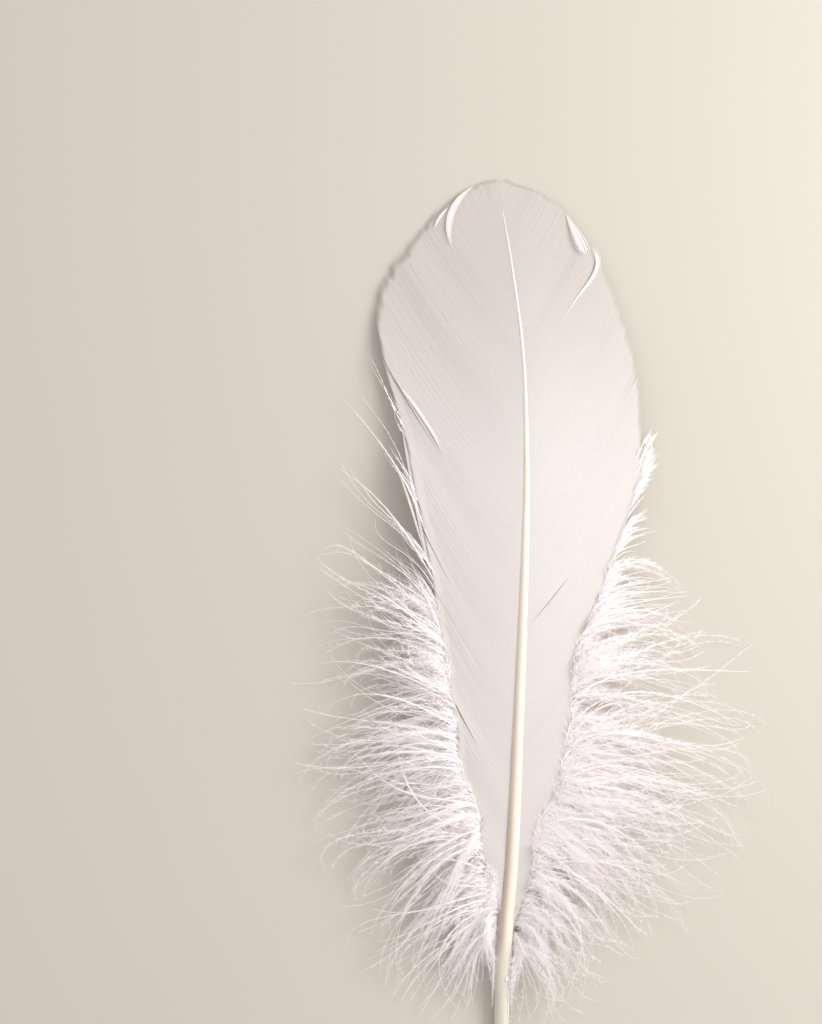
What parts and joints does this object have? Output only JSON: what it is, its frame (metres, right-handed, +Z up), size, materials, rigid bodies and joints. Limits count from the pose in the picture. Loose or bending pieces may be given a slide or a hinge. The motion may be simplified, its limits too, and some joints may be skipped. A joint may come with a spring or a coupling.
{
  "type": "goose feather",
  "caption": "White goose feather lying outer face up: arched shaft with a bare quill, a closed vane with splits and curled tufts, and fluffy down at the base.",
  "frame": {"origin": "on the surface the feather lies on, under the middle of the quill's level end", "axes": "+Y from the quill to the tip, +X to the right seen from above, +Z up from the surface"},
  "size_m": [0.0804, 0.1708, 0.0091],
  "materials": {
    "vane": "matte",
    "shaft": "satin",
    "down": "matte"
  },
  "bodies": {
    "root": {"feather": "vane"}
  },
  "joints": []
}
